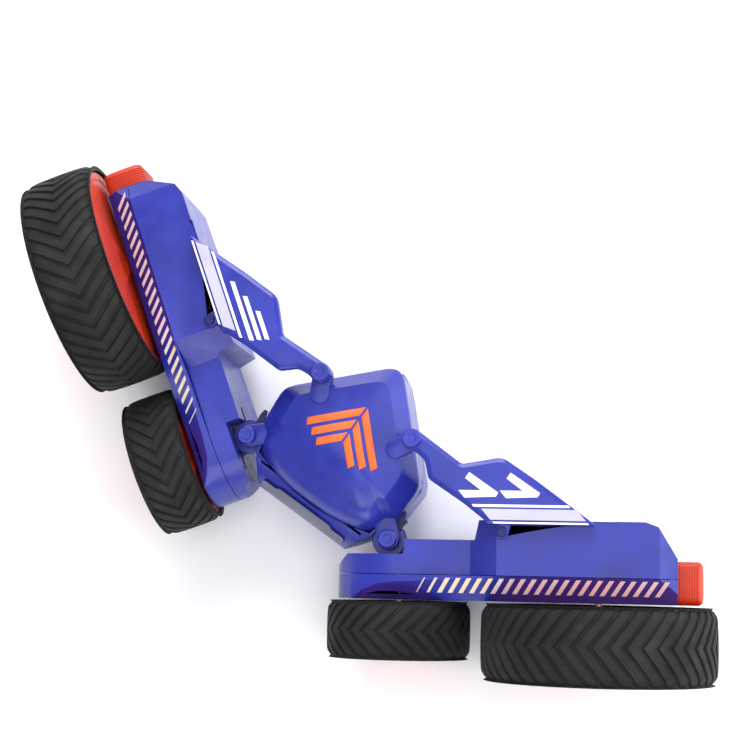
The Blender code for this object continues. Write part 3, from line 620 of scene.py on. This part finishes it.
def canopy_ring(inset, share):
    """One level of the border: straight at the back, rounded over at the front lip."""
    half = [(x, y) for x, y, r in CANOPY_PLAN]
    radii = [r for x, y, r in CANOPY_PLAN]
    plan = half + [(x, -y) for x, y in reversed(half)]
    middle, long, wide = -0.0285, 0.0365, 0.0390
    ring = []
    for x, y in soft_outline(plan, radii + radii[::-1]):
        x = middle + (x - middle) * (1 - inset / long)
        y *= 1 - inset / wide
        front = min(max((x + 0.0180) / 0.0160, 0), 1)
        front = front * front * (3 - 2 * front)
        rise = share + (math.sqrt(max(1 - (1 - share) ** 2, 0)) - share) * front
        ring.append((x, y, canopy_top(x) - CANOPY_DEEP * (1 - rise)))
    return ring


def canopy():
    """Domed cover with a sloping border behind and a rounded lip in front, hollow below."""
    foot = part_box("canopy_shell")[0].z
    rings = [[(x, y, foot) for x, y, z in canopy_ring(0, 0)]]
    skirt = canopy_ring(0, 0)
    rings.append([(x, y, z - 0.0008) for x, y, z in skirt])
    for k in range(11):
        share = k / 10
        rings.append(canopy_ring(0.0004 + CANOPY_BORDER * share, 0.02 + 0.98 * share))
    brow = rings[-1]
    for share in (0.95, 0.82, 0.62, 0.40, 0.18):
        lift = 1 - share ** 2
        rings.append([(CANOPY_PEAK.x + (x - CANOPY_PEAK.x) * share, y * share, z + (CANOPY_PEAK.z - z) * lift)
                      for x, y, z in brow])
    bm = loft(rings, cap=False)
    bmesh.ops.holes_fill(bm, edges=[e for e in bm.edges if e.is_boundary and e.verts[0].co.z > 0.07], sides=0)
    bmesh.ops.recalc_face_normals(bm, faces=bm.faces)
    cover = piece("canopy_cover", bm, body_frame(1), BLUE, "body", smooth=24,
                  replaces=("canopy_shell",))
    wall = cover.modifiers.new("wall", "SOLIDIFY")
    wall.thickness = 0.0018
    wall.offset = -1
    bake(cover)
    gear_reach, gear_low, gear_high = 0.0152, 0.0446, 0.0489
    for side in (1, -1):
        room = prism(arc(0, HINGE.y, gear_reach, 0, *ROUND), gear_low, gear_high)
        combine(cover, placed(room, body_frame(side)), "DIFFERENCE")
    return cover


def lug(name, start, end, radius, low, high, side, body="body"):
    """Round-ended block with softened edges."""
    a, b = Vector(start), Vector(end)
    heading = math.degrees(math.atan2((b - a).y, (b - a).x))
    outline = arc(b.x, b.y, radius, heading - 90, heading + 90, 13)
    outline += arc(a.x, a.y, radius, heading + 90, heading + 270, 13)
    edge = 0.0006
    levels = ((edge, low), (0, low + edge), (0, high - edge), (edge * 0.3, high - edge * 0.3), (edge, high))
    rings = [[(x, y, z) for x, y in inset_outline(outline, inset)] for inset, z in levels]
    return piece(name, loft(rings), body_frame(side), BLUE, body, smooth=40)


def build_lugs(side_name, side):
    """The fin's lug on the canopy, and the grooved knuckle above the arm's hinge gear."""
    pivot = (FIN_PIVOT.x - HINGE.x, FIN_PIVOT.y)
    fin_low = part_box("fin_left")[0].z
    lug(f"fin_lug_{side_name}", pivot, (pivot[0] + 0.0080, pivot[1] - 0.0042), 0.0044, 0.0655,
        fin_low - 0.0003, side)
    upper = lug(f"upper_knuckle_{side_name}", (0, HINGE.y), (-0.0090, 0.0310), 0.0050, 0.0491, 0.0550, side)
    for k in range(3):
        z = 0.0503 + 0.0014 * k
        ring = prism(arc(0, HINGE.y, 0.0060, 0, *ROUND), z, z + 0.0005)
        core = prism(arc(0, HINGE.y, 0.0046, 0, *ROUND), z - 0.001, z + 0.002)
        groove = piece("groove", placed(ring, body_frame(side)), Matrix.Identity(4), BLUE, "", ride=False)
        combine(groove, placed(core, body_frame(side)), "DIFFERENCE")
        cutter = bmesh.new()
        cutter.from_mesh(groove.data)
        bpy.data.objects.remove(groove)
        combine(upper, cutter, "DIFFERENCE")


def pin_cap(name, at, radius, low, high, place, mat, body):
    """Round moulded cap with a shallow dish, over the head of a steel pin."""
    edge, dish = 0.0006, 0.0003
    steps = ((0.0, low), (0.0, high - edge), (0.0005, high), (radius * 0.48, high),
             (radius * 0.56, high - dish))
    rings = [[(x, y, z) for x, y in arc(at[0], at[1], radius - inset, 0, *ROUND)] for inset, z in steps]
    piece(name, loft(rings), place, mat, body, smooth=40)


def hinge_drum(side_name, side):
    """Ribbed round wall round the toothless part of a swing gear."""
    low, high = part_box(f"swing_gear_{side_name}")
    reach, core, start, end = 0.0080, 0.0050, 147, 395
    groove, crest, ribs = 0.0005, 0.0001, 4
    inner = arc(0, 0, core, end, start, 30)
    pitch = (high.z + GAP - low.z) / ribs
    steps = []
    for k in range(ribs):
        z = low.z + pitch * k
        steps += [(groove, z), (crest, z + pitch * 0.25), (crest, z + pitch * 0.75)]
    steps.append((groove, low.z + pitch * ribs))
    rings = [[(x, y, z) for x, y in arc(0, 0, reach - inset, start, end, 60) + inner] for inset, z in steps]
    piece(f"hinge_drum_{side_name}", loft(rings), arm_matrix(side), BLUE, f"arm_{side_name}",
          smooth=30)


def build_hinges(side_name, side):
    """The hinge's drum, the caps over the pins, and the bracket that carries the fin's guide pin."""
    hinge_drum(side_name, side)
    fin, place = f"fin_{side_name}", body_frame(side)
    foot, top = (corner.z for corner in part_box(fin))
    pivot = (FIN_PIVOT.x - HINGE.x, FIN_PIVOT.y)
    low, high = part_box(f"guide_pin_{side_name}")
    middle = (low + high) / 2
    pin = (middle.x - HINGE.x, middle.y * side)
    pin_cap(f"hinge_cap_{side_name}", (0, HINGE.y), 0.0042, 0.0549, 0.0578, place, BLUE, "body")
    pin_cap(f"fin_pivot_cap_{side_name}", pivot, 0.0043, top + GAP, top + 0.0026, place, BLUE, "body")
    # The guide pin's cap takes the darker blue of painted shade.
    pin_cap(f"guide_pin_cap_{side_name}", pin, 0.0023, high.z - 0.0010, high.z + 0.0006, place, SHADE_BLUE, fin)
    lug(f"fin_bracket_{side_name}", pin, (pin[0] - 0.0060, pin[1] - 0.0022), 0.0030, foot, foot + 0.0035,
        side, fin)


def printed(name, outlines, target, place, mat, body):
    """Thin marks that follow a curved surface: each outline is filled, divided finely and dropped onto it."""
    tree = BVHTree.FromObject(target, bpy.context.evaluated_depsgraph_get())
    marks, cell = [], 0.0012
    for outline in outlines:
        bm = bmesh.new()
        bm.faces.new([bm.verts.new((x, y, 0.2)) for x, y in outline])
        placed(bm, place)
        bmesh.ops.recalc_face_normals(bm, faces=bm.faces)
        if next(iter(bm.faces)).normal.z < 0:
            bmesh.ops.reverse_faces(bm, faces=bm.faces)
        for axis in (0, 1):
            low = min(v.co[axis] for v in bm.verts)
            high = max(v.co[axis] for v in bm.verts)
            across = Vector((1 - axis, axis, 0))
            for k in range(1, int((high - low) / cell) + 1):
                geometry = bm.verts[:] + bm.edges[:] + bm.faces[:]
                bmesh.ops.bisect_plane(bm, geom=geometry, plane_co=across * (low + cell * k), plane_no=across)
        for v in bm.verts:
            hit = tree.ray_cast(v.co, Vector((0, 0, -1)))[0]
            v.co.z = hit.z + 0.00004
        bmesh.ops.remove_doubles(bm, verts=bm.verts, dist=1e-6)
        marks.append(bm)
    print_layer = piece(name, joined(marks), Matrix.Identity(4), mat, body, smooth=30)
    wall = print_layer.modifiers.new("wall", "SOLIDIFY")
    wall.thickness = DECAL
    wall.offset = 1


def canopy_mark(cover):
    """Generic arrowhead on the canopy: three nested angle bars that point to the rear tip."""
    bars = []
    for tip, leg, wide in ((-0.0425, 0.0175, 0.0034), (-0.0355, 0.0130, 0.0034), (-0.0285, 0.0085, 0.0034)):
        for side in (1, -1):
            bar = [(tip, 0.0005), (tip + wide * 1.4, 0.0005), (tip + wide * 1.4 + leg, leg + 0.0005),
                   (tip + wide * 0.5 + leg, leg + 0.0005 + wide * 0.5)]
            bars.append([(x, y * side) for x, y in bar])
    printed("canopy_arrow", bars, cover, body_frame(1), ORANGE_PRINT, "body")


def build_body():
    canopy_mark(canopy())
    for side_name, side in SIDES:
        build_lugs(side_name, side)
        build_hinges(side_name, side)
    refined("lower_shell", "body", BLUE, 0.0011)
    # The trim bar's darker grey is partly painted shade.
    refined("front_trim_bar", "body", GREY, 0.0004)
    refined("battery_door", "body", BLUE, 0.0004)


# ---- Studio ------------------------------------------------------------------------------------------------
def build_floor():
    mat, nodes, links = nodes_of("studio_floor")
    shader = nodes["Principled BSDF"]
    shader.inputs["Base Color"].default_value = (0.93, 0.93, 0.94, 1)
    shader.inputs["Roughness"].default_value = 0.6
    half = 12.0
    bm = bmesh.new()
    bm.faces.new([bm.verts.new((x, y, -0.0002)) for x, y in ((-half, -half), (half, -half), (half, half),
                                                             (-half, half))])
    mesh = bpy.data.meshes.new("studio_floor")
    bm.to_mesh(mesh)
    bm.free()
    mesh.materials.append(mat)
    floor = bpy.data.objects.new("studio_floor", mesh)
    bpy.context.scene.collection.objects.link(floor)


def build_light(name, at, target, size, power, colour=(1, 1, 1)):
    data = bpy.data.lights.new(name, "AREA")
    data.shape = "RECTANGLE"
    data.size, data.size_y = size
    data.energy = power
    data.color = colour
    lamp = bpy.data.objects.new(name, data)
    lamp.location = at
    lamp.rotation_euler = (Vector(target) - Vector(at)).to_track_quat("-Z", "Y").to_euler()
    bpy.context.scene.collection.objects.link(lamp)


def build_studio():
    build_floor()
    build_light("key", (-0.75, -0.55, 0.75), (-0.02, 0, 0.05), (0.9, 0.5), 13)
    build_light("side", (0.95, 0.55, 0.70), (0, 0, 0.04), (0.9, 0.6), 6)
    build_light("top", (0.05, 0.25, 1.5), (0, 0, 0), (1.4, 1.4), 10)
    build_light("rim", (-0.60, 0.85, 0.50), (0, 0.05, 0.05), (0.8, 0.35), 9)
    world = bpy.data.worlds.new("studio")
    world.use_nodes = True
    sky = world.node_tree.nodes["Background"]
    sky.inputs["Color"].default_value = (0.96, 0.97, 1.0, 1)
    sky.inputs["Strength"].default_value = 0.55
    bpy.context.scene.world = world
    bpy.context.scene.view_settings.view_transform = "Standard"


def build_camera():
    data = bpy.data.cameras.new("camera")
    data.lens = LENS
    data.sensor_width = 36
    camera = bpy.data.objects.new("camera", data)
    turn = Vector(CAMERA_TURN)
    camera.matrix_world = Matrix.Translation(CAMERA_AT) @ Matrix.Rotation(turn.length, 4, turn)
    bpy.context.scene.collection.objects.link(camera)
    bpy.context.scene.camera = camera


dress_cad_nodes()
build_studio()
build_camera()
build_body()
for name, sign in SIDES:
    build_arm(name, sign)
    build_fin(name, sign)
    for wheel in ("front", "rear"):
        build_wheel(wheel, name, sign)
